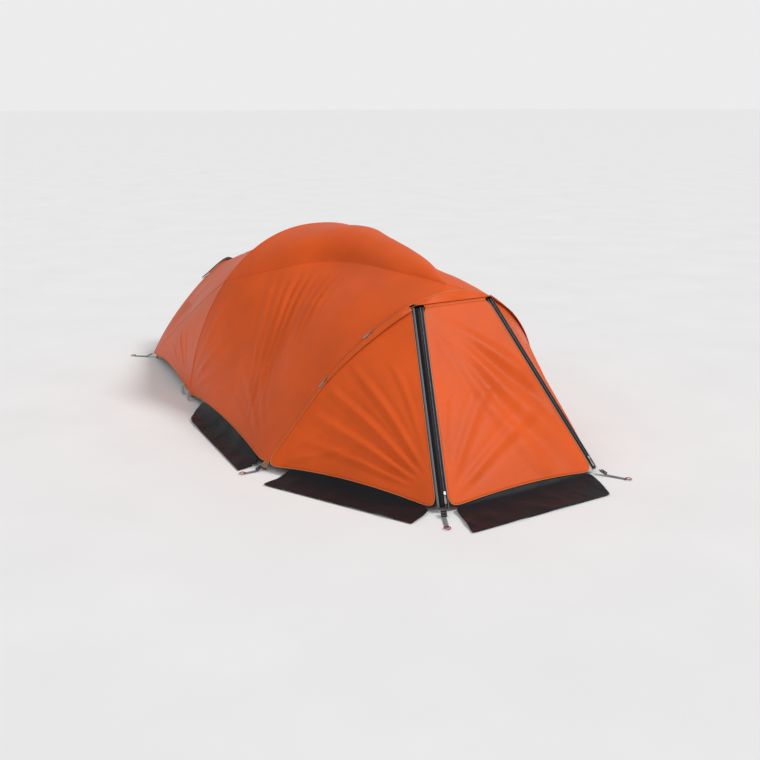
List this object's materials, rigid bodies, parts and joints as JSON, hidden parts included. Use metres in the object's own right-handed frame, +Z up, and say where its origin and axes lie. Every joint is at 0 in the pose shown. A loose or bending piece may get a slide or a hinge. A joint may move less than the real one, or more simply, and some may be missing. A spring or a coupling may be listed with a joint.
{
  "type": "tunnel tent",
  "caption": "Two-person tent: outer fly on five bowed poles, porch with three doors, snow flaps, rear vent hood, and an inner tent.",
  "frame": {"origin": "on the ground under the groundsheet, on the middle line", "axes": "+X across, the tent is the same on both sides of X = 0; -Y towards the porch, +Y towards the rear; +Z up"},
  "size_m": [2.1224, 3.8801, 1.1236],
  "materials": {
    "fly_orange": "satin",
    "flap_black": "satin",
    "band_black": "matte",
    "zip_tape": "matte",
    "inner_cloth": "matte",
    "inner_mesh": "matte",
    "vent_mesh": "matte",
    "groundsheet": "satin",
    "pole_alloy": "satin",
    "ferrule_metal": "satin",
    "elastic_cord": "matte",
    "tip_metal": "satin",
    "grommet_brass": "satin",
    "webbing": "matte",
    "black_plastic": "satin",
    "loop_red": "matte",
    "clip_plastic": "satin",
    "guy_cord": "matte",
    "slider_metal": "satin",
    "pull_grey": "matte"
  },
  "bodies": {
    "frame": {"fly_side_left": "fly_orange", "fly_side_right": "fly_orange", "fly_rear_side_left": "fly_orange", "fly_rear_side_right": "fly_orange", "fly_roof_front": "fly_orange", "fly_roof_rear": "fly_orange", "fly_rear_gable": "fly_orange", "rear_vent_mesh": "vent_mesh", "porch_brow": "fly_orange", "fly_apex_patch": "fly_orange", "front_zip_band_left": "band_black", "hoop_zip_left": "zip_tape", "front_zip_band_right": "band_black", "hoop_zip_right": "zip_tape", "snow_flap_body_left": "flap_black", "snow_flap_body_right": "flap_black", "main_arch_pole": "pole_alloy", "porch_hoop_pole": "pole_alloy", "rear_hoop_pole": "pole_alloy", "diagonal_pole_right": "pole_alloy", "diagonal_pole_left": "pole_alloy", "pole_ferrules": "ferrule_metal", "pole_shock_cords": "elastic_cord", "pole_tips": "tip_metal", "corner_grommets": "grommet_brass", "inner_wall_left": "inner_cloth", "inner_wall_right": "inner_cloth", "inner_roof": "inner_cloth", "inner_front_wall": "inner_cloth", "inner_rear_wall": "inner_cloth", "groundsheet": "groundsheet", "corner_straps": "webbing", "corner_buckles": "black_plastic", "stake_loops": "loop_red", "canopy_clips": "clip_plastic", "guy_cord_front_left": "guy_cord", "guy_cord_rear_left": "guy_cord", "guy_cord_front_right": "guy_cord", "guy_cord_rear_right": "guy_cord"},
    "side_door_left": {"porch_side_door_left": "fly_orange", "snow_flap_porch_left": "flap_black"},
    "side_door_right": {"porch_side_door_right": "fly_orange", "snow_flap_porch_right": "flap_black"},
    "front_door": {"porch_front_door": "fly_orange", "snow_flap_front": "flap_black"},
    "inner_door": {"inner_door": "inner_mesh"},
    "hoop_upper_left_slider": {"hoop_upper_left_slider": "slider_metal"},
    "hoop_upper_left_pull": {"hoop_upper_left_pull": "pull_grey"},
    "hoop_lower_left_slider": {"hoop_lower_left_slider": "slider_metal"},
    "hoop_lower_left_pull": {"hoop_lower_left_pull": "pull_grey"},
    "front_left_slider": {"front_left_slider": "slider_metal"},
    "front_left_pull": {"front_left_pull": "pull_grey"},
    "hoop_upper_right_slider": {"hoop_upper_right_slider": "slider_metal"},
    "hoop_upper_right_pull": {"hoop_upper_right_pull": "pull_grey"},
    "hoop_lower_right_slider": {"hoop_lower_right_slider": "slider_metal"},
    "hoop_lower_right_pull": {"hoop_lower_right_pull": "pull_grey"},
    "front_right_slider": {"front_right_slider": "slider_metal"},
    "front_right_pull": {"front_right_pull": "pull_grey"},
    "vent_hood": {"rear_vent_hood": "fly_orange", "vent_stiffener": "black_plastic"}
  },
  "joints": [
    {"name": "porch_front_door_lift", "type": "hinge", "parent": "frame", "child": "front_door", "pos_m": [0, -1.166, 0.842], "axis": [-1, 0, 0], "range_deg": [0, 100]},
    {"name": "porch_side_door_left_swing", "type": "hinge", "parent": "frame", "child": "side_door_left", "pos_m": [-0.50018, -1.73138, 0.01976], "axis": [0.2392, 0.5695, 0.7864], "range_deg": [0, 100]},
    {"name": "porch_side_door_right_swing", "type": "hinge", "parent": "frame", "child": "side_door_right", "pos_m": [0.50018, -1.73138, 0.01976], "axis": [0.2392, -0.5695, -0.7864], "range_deg": [0, 100]},
    {"name": "rear_vent_hood_tilt", "type": "hinge", "parent": "frame", "child": "vent_hood", "pos_m": [0, 1.69863, 0.70835], "axis": [1, 0, 0], "range_deg": [0, 25]},
    {"name": "inner_door_drop", "type": "hinge", "parent": "frame", "child": "inner_door", "pos_m": [0, -0.71654, 0.17768], "axis": [-1, 0, 0], "range_deg": [0, 100]},
    {"name": "hoop_upper_left_travel", "type": "hinge", "parent": "frame", "child": "hoop_upper_left_slider", "pos_m": [0.4051, -0.73822, -0.1482], "axis": [0, 0.9317, 0.3633], "range_deg": [-5, 3.5]},
    {"name": "hoop_lower_left_travel", "type": "hinge", "parent": "frame", "child": "hoop_lower_left_slider", "pos_m": [0.4051, -0.73822, -0.1482], "axis": [0, 0.9317, 0.3633], "range_deg": [-3.5, 6]},
    {"name": "front_left_travel", "type": "slide", "parent": "frame", "child": "front_left_slider", "axis": [0.2392, 0.5695, 0.7864], "range_m": [0, 0.86]},
    {"name": "hoop_upper_left_pull_swing", "type": "hinge", "parent": "hoop_upper_left_slider", "child": "hoop_upper_left_pull", "pos_m": [-0.45615, -1.07476, 0.715], "axis": [0, 0.9317, 0.3633], "range_deg": [0, 120]},
    {"name": "hoop_lower_left_pull_swing", "type": "hinge", "parent": "hoop_lower_left_slider", "child": "hoop_lower_left_pull", "pos_m": [-0.66659, -0.98233, 0.4779], "axis": [0, 0.9317, 0.3633], "range_deg": [0, 120]},
    {"name": "front_left_pull_swing", "type": "hinge", "parent": "front_left_slider", "child": "front_left_pull", "pos_m": [-0.45062, -1.7253, 0.07645], "axis": [-0.971, 0.1403, 0.1938], "range_deg": [0, 120]},
    {"name": "hoop_upper_right_travel", "type": "hinge", "parent": "frame", "child": "hoop_upper_right_slider", "pos_m": [-0.4051, -0.73822, -0.1482], "axis": [0, -0.9317, -0.3633], "range_deg": [-5, 3.5]},
    {"name": "hoop_lower_right_travel", "type": "hinge", "parent": "frame", "child": "hoop_lower_right_slider", "pos_m": [-0.4051, -0.73822, -0.1482], "axis": [0, -0.9317, -0.3633], "range_deg": [-3.5, 6]},
    {"name": "front_right_travel", "type": "slide", "parent": "frame", "child": "front_right_slider", "axis": [-0.2392, 0.5695, 0.7864], "range_m": [0, 0.86]},
    {"name": "hoop_upper_right_pull_swing", "type": "hinge", "parent": "hoop_upper_right_slider", "child": "hoop_upper_right_pull", "pos_m": [0.45615, -1.07476, 0.715], "axis": [0, -0.9317, -0.3633], "range_deg": [0, 120]},
    {"name": "hoop_lower_right_pull_swing", "type": "hinge", "parent": "hoop_lower_right_slider", "child": "hoop_lower_right_pull", "pos_m": [0.66659, -0.98233, 0.4779], "axis": [0, -0.9317, -0.3633], "range_deg": [0, 120]},
    {"name": "front_right_pull_swing", "type": "hinge", "parent": "front_right_slider", "child": "front_right_pull", "pos_m": [0.45062, -1.7253, 0.07645], "axis": [-0.971, -0.1403, -0.1938], "range_deg": [0, 120]}
  ]
}
